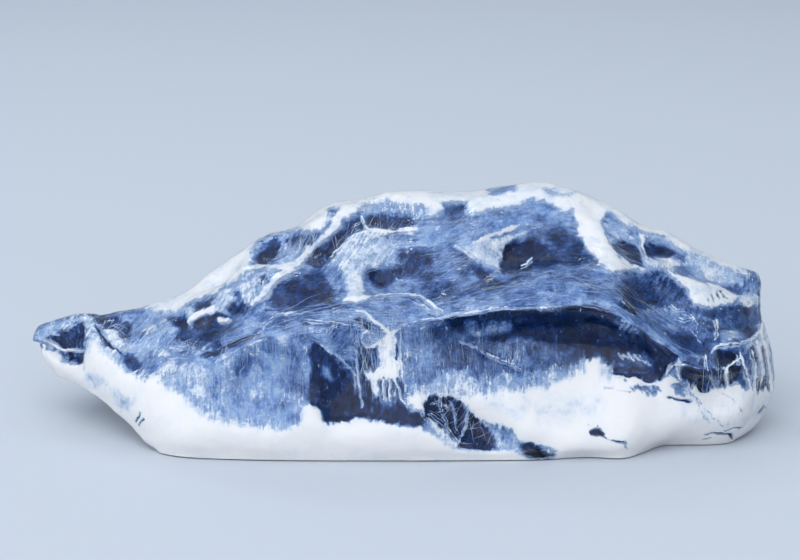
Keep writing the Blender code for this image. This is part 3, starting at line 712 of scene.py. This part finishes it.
def ice_material():
    """Clear ice: rougher where it is crushed, with fine streaks and grain in its bump."""
    nodes = Nodes("clear_ice")
    place = nodes.add("TexCoord").outputs["Object"]
    crushed = nodes.maths("MULTIPLY", nodes.attribute("tone"), CRUSHED_ROUGHNESS)
    rough = nodes.maths("ADD", nodes.noise(place, "skin_patches"), crushed)
    streaks = nodes.noise(nodes.attribute("comb", "Vector"), "skin_streaks")
    streaks = nodes.maths("MULTIPLY", streaks, nodes.attribute("streak"))
    height = nodes.maths("ADD", streaks, nodes.noise(place, "skin_grain"))
    bump = nodes.add("Bump", Strength=BUMP_STRENGTH, Distance=BUMP_HEIGHT, Height=height)
    nodes.set(
        nodes.shader, Base_Color=(1, 1, 1, 1), IOR=ICE_IOR, Transmission_Weight=1.0,
        Roughness=nodes.maths("MAXIMUM", rough, SMOOTHEST), Normal=bump.outputs["Normal"])
    absorb = nodes.add("VolumeAbsorption", Color=ICE_ABSORPTION, Density=ICE_DENSITY)
    nodes.set(nodes.tree.nodes["Material Output"], Volume=absorb.outputs["Volume"])
    return nodes.material


def detailed_tone(nodes, place, comb, fine):
    """The mesh's tone with streaks, clouds, grain and bright flecks, strongest between clear and white."""
    tone = nodes.attribute("tone")
    clear = nodes.maths("SUBTRACT", 1.0, tone)
    patches = nodes.maths("ADD", nodes.noise(place, "patches"), PATCHES_MEAN, clamp=True)
    streaks = nodes.chain(
        "ADD", nodes.noise(comb, "hairs", fine), nodes.noise(comb, "strands"), nodes.noise(comb, "strokes"))
    streaks = nodes.chain("MULTIPLY", streaks, nodes.attribute("streak"), patches)
    mottle = nodes.chain("ADD", streaks, nodes.noise(place, "clouds"), nodes.noise(place, "grain", fine))
    least = nodes.maths("MULTIPLY_ADD", clear, DETAIL_CLEAR, DETAIL_EVERYWHERE)
    share = nodes.maths("MULTIPLY_ADD", nodes.maths("MULTIPLY", tone, clear), DETAIL_BETWEEN, least)
    peaks = nodes.maths("MAXIMUM", nodes.maths("SUBTRACT", nodes.noise(comb, "flecks"), FLECK_LEVEL), 0.0)
    flecks = nodes.chain("MULTIPLY", peaks, patches, nodes.maths("MULTIPLY", clear, FLECK_POWER * fine))
    detailed = nodes.maths("ADD", tone, nodes.maths("MULTIPLY", mottle, share))
    return nodes.maths("ADD", detailed, flecks, clamp=True)


def layer_material(name, tones, fine, seed):
    """A cloudy layer that also paints light and shade by its tones. fine scales its small detail, and seed
    moves its noise.
    """
    nodes = Nodes(name)
    place = nodes.moved(nodes.add("TexCoord").outputs["Object"], seed)
    comb = nodes.moved(nodes.attribute("comb", "Vector"), seed)
    tone = detailed_tone(nodes, place, comb, fine)
    colours = [(at, (*colour, 1)) for at, _, colour in tones]
    covers = [(at, (cover, cover, cover, 1)) for at, cover, _ in tones]
    nodes.set(
        nodes.shader, Base_Color=nodes.ramp(tone, colours), Alpha=nodes.ramp(tone, covers), Roughness=1.0,
        Specular_IOR_Level=0.0)
    return nodes.material


def flaw_material():
    nodes = Nodes("white_flaw")
    nodes.set(nodes.shader, Base_Color=FLAW_COLOUR, Roughness=FLAW_ROUGHNESS, Specular_IOR_Level=0.0)
    return nodes.material


def mesh_arrays(mesh):
    """The places and the normals of the mesh's vertices."""
    count = len(mesh.vertices)
    points = np.empty(count * 3)
    normals = np.empty(count * 3)
    mesh.vertices.foreach_get("co", points)
    mesh.vertices.foreach_get("normal", normals)
    return points.reshape(-1, 3), normals.reshape(-1, 3)


def set_points(mesh, points):
    mesh.vertices.foreach_set("co", points.ravel())
    mesh.update()


def averaged(mesh, values, rounds):
    """values at the vertices, each moved to the mean of its neighbours, rounds times."""
    edges = np.empty(len(mesh.edges) * 2, int)
    mesh.edges.foreach_get("vertices", edges)
    a, b = edges.reshape(-1, 2).T
    size = len(values)
    count = np.bincount(edges, minlength=size).reshape(-1, 1)
    values = values.reshape(size, -1)
    for _ in range(rounds):
        total = [np.bincount(a, column[b], size) + np.bincount(b, column[a], size) for column in values.T]
        values = np.column_stack(total) / count
    return values


def seen_from(tree, points, normals, eye):
    """How squarely each point faces the eye, 0 where something hides it."""
    facing = np.zeros(len(points))
    for k, (point, normal) in enumerate(zip(points, normals)):
        away = eye - point
        distance = np.linalg.norm(away)
        away /= distance
        facing[k] = away @ normal
        if facing[k] > 0:
            start = point + normal * LIFT + away * LIFT
            if tree.ray_cast(Vector(start), Vector(away), distance)[0] is not None:
                facing[k] = 0
    return np.maximum(facing, 0)


def mesh_from(bm):
    mesh = bpy.data.meshes.new("ice_surface")
    bm.to_mesh(mesh)
    bm.free()
    return mesh


def quad_mesh(node):
    """The solid's triangles joined to quads where they pair well, with the foot's outline creased."""
    bm = bmesh.new()
    bm.from_mesh(node.data)
    bmesh.ops.remove_doubles(bm, verts=bm.verts, dist=SAME_POINT)
    bmesh.ops.join_triangles(
        bm, faces=bm.faces, cmp_seam=False, cmp_sharp=False, cmp_uvs=False, cmp_vcols=False,
        cmp_materials=False, angle_face_threshold=QUAD_ANGLE, angle_shape_threshold=QUAD_ANGLE)
    crease = bm.edges.layers.float.new("crease_edge")
    for edge in bm.edges:
        low = max(v.co.z for v in edge.verts) < FLAT
        flat = [max(v.co.z for v in face.verts) < FLAT for face in edge.link_faces]
        if low and any(flat) and not all(flat):
            edge[crease] = 1.0
    return mesh_from(bm)


def subdivided(mesh, levels):
    obj = new_object("subdivided", mesh.copy())
    sub = obj.modifiers.new("smooth", "SUBSURF")
    sub.levels = levels
    sub.render_levels = levels
    bpy.context.view_layer.update()
    result = bpy.data.meshes.new_from_object(obj.evaluated_get(bpy.context.evaluated_depsgraph_get()))
    bpy.data.objects.remove(obj)
    return result


def mesh_tree(mesh):
    points, _ = mesh_arrays(mesh)
    return BVHTree.FromPolygons([tuple(p) for p in points], [tuple(f.vertices) for f in mesh.polygons])


def snap(bm, tree):
    for v in bm.verts:
        v.co = tree.find_nearest(v.co)[0]


def drop_flaps(bm):
    """Removes faces that lie on the same three corners, which splitting can leave."""
    bm.verts.index_update()
    sharing = {}
    for face in bm.faces:
        sharing.setdefault(frozenset(v.index for v in face.verts), []).append(face)
    flaps = [face for faces in sharing.values() if len(faces) > 1 for face in faces]
    bmesh.ops.delete(bm, geom=flaps, context="FACES")


def split(bm, edges):
    bmesh.ops.subdivide_edges(bm, edges=edges, cuts=1, use_grid_fill=True)
    bmesh.ops.triangulate(bm, faces=bm.faces[:])


def fine_mesh(node, picture):
    """Coarse round the back, finer where the front is seen, and finest along its lines and sharp edges."""
    quads = quad_mesh(node)
    limit = mesh_tree(subdivided(quads, LIMIT_LEVELS))
    mesh = subdivided(quads, COARSE_LEVELS)
    points, normals = mesh_arrays(mesh)
    seen = seen_from(limit, points, normals, picture.eye) > SEEN
    bm = bmesh.new()
    bm.from_mesh(mesh)
    split(bm, [e for e in bm.edges if any(seen[v.index] for f in e.link_faces for v in f.verts)])
    snap(bm, limit)
    for _ in range(SPLIT_ROUNDS):
        split(bm, long_edges(bm, picture))
        snap(bm, limit)
    drop_flaps(bm)
    result = mesh_from(bm)
    result.shade_smooth()
    return result


def long_edges(bm, picture):
    """The front's edges that are longer than the pattern allows at their middle."""
    bm.normal_update()
    edges = list(bm.edges)
    ends = np.array([(*e.verts[0].co, *e.verts[1].co) for e in edges])
    normals = np.array([(*e.verts[0].normal, *e.verts[1].normal) for e in edges])
    middles = (ends[:, :3] + ends[:, 3:]) / 2
    facing = ((normals[:, :3] + normals[:, 3:]) * (picture.eye - middles)).sum(1) > 0
    lengths = np.linalg.norm(ends[:, :3] - ends[:, 3:], axis=1)
    ask = np.flatnonzero(facing & (lengths > LINE_EDGE))
    limits = allowed_edge(middles[ask], picture.places(middles[ask]))
    return [edges[k] for k in ask[lengths[ask] > limits]]


def allowed_edge(points, places):
    """How long an edge may be at each point: short along lines and along the sharp edges of areas."""
    allowed = np.full(len(points), PLAIN_EDGE)
    area_places, line_places = pattern_places(points, places)
    for _, blur, _, corners in areas():
        if blur > SHARP_BLUR:
            continue
        near = within(area_places, corners, AREA_MARGIN)
        close = np.abs(edge_distance(area_places[near], corners)) < blur + 1
        allowed[near[close]] = SHARP_EDGE
    for _, line in lines():
        near = within(line_places, line, LINE_MARGIN)
        close = line_share(line_places[near], line) > LINE_REACH
        allowed[near[close]] = LINE_EDGE
    return allowed


def within(places, corners, margin):
    """Which places lie in the corners' box, widened by the margin."""
    low, high = corners[:, :2].min(0) - margin, corners[:, :2].max(0) + margin
    return np.flatnonzero(((places > low) & (places < high)).all(1))


def edge_distance(places, corners):
    """Distance in pixels to a polygon's edge, positive inside."""
    nearest = np.full(len(places), np.inf)
    inside = np.zeros(len(places), bool)
    for a, b in zip(corners, np.roll(corners, -1, axis=0)):
        along = b - a
        t = np.clip(((places - a) @ along) / (along @ along), 0, 1)
        nearest = np.minimum(nearest, np.linalg.norm(places - a - t[:, None] * along, axis=1))
        crosses = (a[1] > places[:, 1]) != (b[1] > places[:, 1])
        if a[1] != b[1]:
            at = a[0] + (places[:, 1] - a[1]) * (b[0] - a[0]) / (b[1] - a[1])
            inside ^= crosses & (places[:, 0] < at)
    return np.where(inside, nearest, -nearest)


def line_share(places, line):
    """1 on the middle of a line, 0 at its edge, negative outside."""
    best = np.full(len(places), FAR_OFF)
    for a, b in zip(line[:-1], line[1:]):
        along = b[:2] - a[:2]
        t = np.clip(((places - a[:2]) @ along) / (along @ along), 0, 1)
        off = np.linalg.norm(places - a[:2] - t[:, None] * along, axis=1)
        width = a[2] + (b[2] - a[2]) * t
        best = np.maximum(best, 1 - off / (width * LINE_SPREAD))
    return best


def wander(points, size, power):
    """Noise of about power, with waves of about size metres."""
    return power * np.array([noise.noise(Vector(p) / size) for p in points])


def shift(points, size, power):
    """Noise in both directions of the picture."""
    return np.column_stack([wander(points, size, power), wander(points + ELSEWHERE, size, power)])


def pattern_places(points, places):
    """The places pushed about by noise, so that no edge runs straight: first for areas, then for lines."""
    slow = shift(points, *SLOW_SHIFT)
    fast = shift(points, *FAST_SHIFT)
    height = points[:, 2]
    low = smooth((LOW_PART - height) / LOW_FADE) * smooth((height - FOOT) / FOOT_FADE)
    area_places = places + slow + fast
    area_places[:, 1] += wander(points * FRINGE_STRETCH, *FRINGE) * low
    return area_places, places + LINE_SLOW * slow + LINE_FAST * fast


def picture_tone(area_places, line_places, strength):
    """The pattern's tone, its streak power, and its tone without lines, which fade where strength is low.

    Strong streaks reach out over an area's edge, and weak ones start inside it.
    """
    tone = np.full(len(area_places), MIDDLE_TONE)
    power = np.full(len(area_places), MIDDLE_POWER)
    for value, blur, grain, corners in areas():
        near = within(area_places, corners, 2 * blur)
        inside = edge_distance(area_places[near], corners)
        tone[near] += (value - tone[near]) * smooth(inside / (2 * blur) + 0.5)
        rise = GRAINS[grain][1] - power[near]
        power[near] += rise * smooth(inside / (2 * blur) + (rise > 0))
    plain = tone.copy()
    for value, line in lines():
        near = within(line_places, line, LINE_MARGIN)
        share = smooth(line_share(line_places[near], line) * LINE_HARDNESS + strength[near])
        tone[near] += (value - tone[near]) * share
    return tone, power, plain


def outline_heights(points):
    """How high the skin's top is at each point's place along the length."""
    stations = np.linspace(points[:, 0].min(), points[:, 0].max(), STATIONS)
    slot = np.clip(np.searchsorted(stations, points[:, 0]), 1, STATIONS - 1)
    tops = np.zeros(STATIONS)
    np.maximum.at(tops, slot, points[:, 2])
    return np.interp(points[:, 0], stations[1:], tops[1:])


def back_places(points, picture):
    """The picture place whose tone each point takes on the back, found by its height and moved by noise."""
    tops = outline_heights(points)
    level = np.zeros(len(points))
    low = picture.places(np.column_stack([points[:, 0], level + FRONT_FOOT_Y, level]))
    high = picture.places(np.column_stack([points[:, 0], level, tops]))
    return low + (high - low) * (points[:, 2] / tops)[:, None] + shift(points, *BACK_SHIFT)


def turned(x, y, degrees):
    """The places turned so that streaks in this direction run along the first number."""
    turn = math.radians(degrees)
    return np.column_stack([x * math.cos(turn) - y * math.sin(turn), x * math.sin(turn) + y * math.cos(turn)])


def comb_places(mesh, picture, places, depth):
    """A place for each face corner, first number along the streaks and second across them."""
    ends = np.empty(len(mesh.loops), int)
    mesh.loops.foreach_get("vertex_index", ends)
    corner = places[ends]
    centre = corner.reshape(-1, 3, 2).mean(1)
    flow = spots(FLOW_LINE)
    across = corner[:, 1] - np.interp(corner[:, 0], *flow.T)
    result = np.column_stack([corner[:, 0], across])
    for _, _, grain, corners in areas():
        near = within(centre, corners, 0)
        faces = near[edge_distance(centre[near], corners) > 0]
        inside = (faces[:, None] * 3 + np.arange(3)).ravel()
        x, y = corner[inside].T
        degrees = GRAINS[grain][0]
        if degrees is None:
            result[inside] = np.column_stack([x, across[inside]])
        else:
            result[inside] = turned(x, y, degrees)
    return np.column_stack([result * (DISTANCE / picture.focal), depth[ends]])


def put_attribute(mesh, name, kind, domain, field, values):
    attribute = mesh.attributes.new(name, kind, domain)
    attribute.data.foreach_set(field, np.ascontiguousarray(values, dtype=np.float32).ravel())


def paint(mesh, tree, picture):
    """Gives the mesh its tone, streak power and streak places, and returns the tone its relief follows."""
    points, normals = mesh_arrays(mesh)
    places = picture.places(points)
    behind = back_places(points, picture)
    facing = seen_from(tree, points, normals, picture.eye)
    share = smooth((facing - SEEN) / SEEN_FADE)[:, None]
    strength = wander(points, *LONG_GAPS) + wander(points, *SHORT_GAPS) + GAPS_MEAN
    front = np.column_stack(picture_tone(*pattern_places(points, places), strength))
    back = np.column_stack(picture_tone(*pattern_places(points, behind), strength))
    clouds = wander(points, *BACK_CLOUDS)[:, None]
    # The first and last columns are tones, and the middle one is the streak power.
    back[:, ::2] = np.clip(back[:, ::2] + clouds, 0, 1)
    tone, power, plain = (back + (front - back) * share).T
    depth = (points - picture.eye) @ picture.ahead
    combed = comb_places(mesh, picture, np.where(share > 0.5, places, behind), depth)
    put_attribute(mesh, "tone", "FLOAT", "POINT", "value", tone)
    put_attribute(mesh, "streak", "FLOAT", "POINT", "value", power)
    put_attribute(mesh, "comb", "FLOAT_VECTOR", "CORNER", "vector", combed)
    return averaged(mesh, plain, RELIEF_ROUNDS)[:, 0] + LINE_RELIEF * (tone - plain)


def sculpt(mesh, tone):
    """Raises the white places, sinks the clear ones and adds the small relief of melting."""
    points, normals = mesh_arrays(mesh)
    height = (tone - MIDDLE_TONE) * RELIEF_PER_TONE + wander(points, *SWELLS) + wander(points, *RIPPLES)
    points = points + normals * (height * smooth(points[:, 2] / FOOT_FADE))[:, None]
    points[:, 2] = np.maximum(points[:, 2], 0)
    set_points(mesh, points)


def layer(name, mesh, depth, material):
    """A closed copy of the mesh, depth inside it at each vertex."""
    inner = mesh.copy()
    inner.name = name
    points, normals = mesh_arrays(mesh)
    set_points(inner, points - normals * depth)
    inner.materials.clear()
    inner.materials.append(material)
    return new_object(name, inner)


def haze_and_shade_layer(skin, tree, tone):
    """The blue layer, which paints shade as nearly black blue where the ice is clear, a share of the ice's
    thickness deep, and closer under the skin where it is white.
    """
    points, normals = mesh_arrays(skin)
    rays = [tree.ray_cast(Vector(p - n * LIFT), Vector(-n)) for p, n in zip(points, normals)]
    thick = np.array([distance or 0.0 for _, _, _, distance in rays])
    depth = averaged(skin, np.clip(thick * HAZE_SHARE, HAZE_LEAST, HAZE_DEPTH), HAZE_ROUNDS)
    depth = averaged(skin, depth * (1 - HAZE_RISE * smooth(tone))[:, None], ROUNDS)
    smoother = skin.copy()
    set_points(smoother, averaged(skin, points, ROUNDS))
    obj = layer("haze_and_shade_layer", smoother, depth, layer_material("blue_haze_and_painted_shade", HAZE_AND_SHADE_TONES, fine=0.5, seed=0.7))
    bpy.data.meshes.remove(smoother)
    return obj


def tube(path, radii):
    """Rings round a path, drawn to a point at both ends: vertices and triangles."""
    sides = TUBE_SIDES
    ways = np.gradient(path, axis=0)
    ways /= np.linalg.norm(ways, axis=1)[:, None]
    side = np.cross(ways, SKEW)
    side /= np.linalg.norm(side, axis=1)[:, None]
    other = np.cross(ways, side)
    turns = np.arange(sides) * 2 * math.pi / sides
    ring = side[:, None] * np.cos(turns)[:, None] + other[:, None] * np.sin(turns)[:, None]
    verts = (path[:, None] + ring * radii[:, None, None]).reshape(-1, 3)
    faces = []
    for row in range(len(path) - 1):
        for k in range(sides):
            a, b = row * sides + k, row * sides + (k + 1) % sides
            faces += [(a, b, b + sides), (a, b + sides, a + sides)]
    last = len(verts)
    end = last - sides
    for k in range(sides):
        faces.append((last, (k + 1) % sides, k))
        faces.append((last + 1, end + k, end + (k + 1) % sides))
    tips = path[0] - ways[0] * radii[0], path[-1] + ways[-1] * radii[-1]
    return np.vstack([verts, *tips]), np.array(faces)


def flow_direction(x):
    """The flow line's direction at x, in radians above level."""
    left, right = np.interp([x - LOOK, x + LOOK], *spots(FLOW_LINE).T)
    return -math.atan2(right - left, 2 * LOOK)


def filament(rng, tree, picture, start, length, angle, radius, depth):
    """One fine flaw that wanders under the skin from a place of the picture."""
    place = np.array(start, float)
    bend = 0.0
    path = []
    for _ in range(max(int(length / STEP), LEAST_STEPS)):
        found = picture.on_skin(tree, *place)
        if found is None or found[1] @ picture.ahead > GRAZING:
            break
        path.append(found[0] - found[1] * depth)
        heading = flow_direction(place[0]) if angle is None else math.radians(angle)
        bend = BEND_KEPT * bend + rng.normal(0, BEND)
        place = place + STEP * np.array([math.cos(heading + bend), -math.sin(heading + bend)])
    path = np.array(path)
    if len(path) < LEAST_STEPS or np.linalg.norm(np.diff(path, axis=0), axis=1).max() > LONGEST_GAP:
        return None
    t = np.linspace(0, 1, len(path))
    return tube(path, radius * (THIN_END + (1 - THIN_END) * np.sin(math.pi * t)))


def filaments(tree, picture):
    rng = np.random.default_rng(SEED)
    verts, faces, count = [], [], 0
    for _, number, length, angle, spread, radius, depth, corners in FILAMENTS:
        corners = spots(corners)
        tries = rng.uniform(corners.min(0), corners.max(0), (number * TRIES, 2))
        starts = tries[edge_distance(tries, corners) > 0][:number]
        for start in starts:
            way = None if angle is None else angle + rng.normal(0, spread)
            size = radius * MM * rng.uniform(*SIZES)
            deep = depth * MM * rng.uniform(*DEPTHS)
            made = filament(rng, tree, picture, start, length * rng.uniform(*LENGTHS), way, size, deep)
            if made is None:
                continue
            verts.append(made[0])
            faces.append(made[1] + count)
            count += len(made[0])
    mesh = bpy.data.meshes.new("filaments")
    mesh.from_pydata(np.vstack(verts).tolist(), [], np.vstack(faces).tolist())
    mesh.materials.append(flaw_material())
    mesh.shade_smooth()
    return new_object("filaments", mesh)


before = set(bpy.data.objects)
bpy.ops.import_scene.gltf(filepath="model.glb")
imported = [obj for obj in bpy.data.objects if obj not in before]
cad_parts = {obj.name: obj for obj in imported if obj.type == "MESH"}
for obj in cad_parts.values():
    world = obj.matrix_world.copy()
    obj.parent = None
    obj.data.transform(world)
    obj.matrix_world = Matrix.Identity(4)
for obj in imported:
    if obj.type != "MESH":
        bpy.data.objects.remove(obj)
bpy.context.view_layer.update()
picture = Picture()
picture.camera()
studio()
floor()
skin = fine_mesh(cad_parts["ice_block"], picture)
tone = paint(skin, mesh_tree(skin), picture)
sculpt(skin, tone)
tree = mesh_tree(skin)
white_frost_and_painted_light = layer_material("white_frost_and_painted_light", FROST_AND_LIGHT_TONES, fine=1.0, seed=0.0)
frost_and_light = layer("frost_and_light_layer", skin, FROST_DEPTH, white_frost_and_painted_light)
haze_and_shade = haze_and_shade_layer(skin, tree, tone)
flaws = filaments(tree, picture)
skin.materials.clear()
skin.materials.append(ice_material())
surface = new_object("ice_surface", skin)
for piece in (surface, frost_and_light, haze_and_shade, flaws):
    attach(piece, "root")
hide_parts("ice_block")
bpy.context.scene.view_settings.view_transform = "Standard"
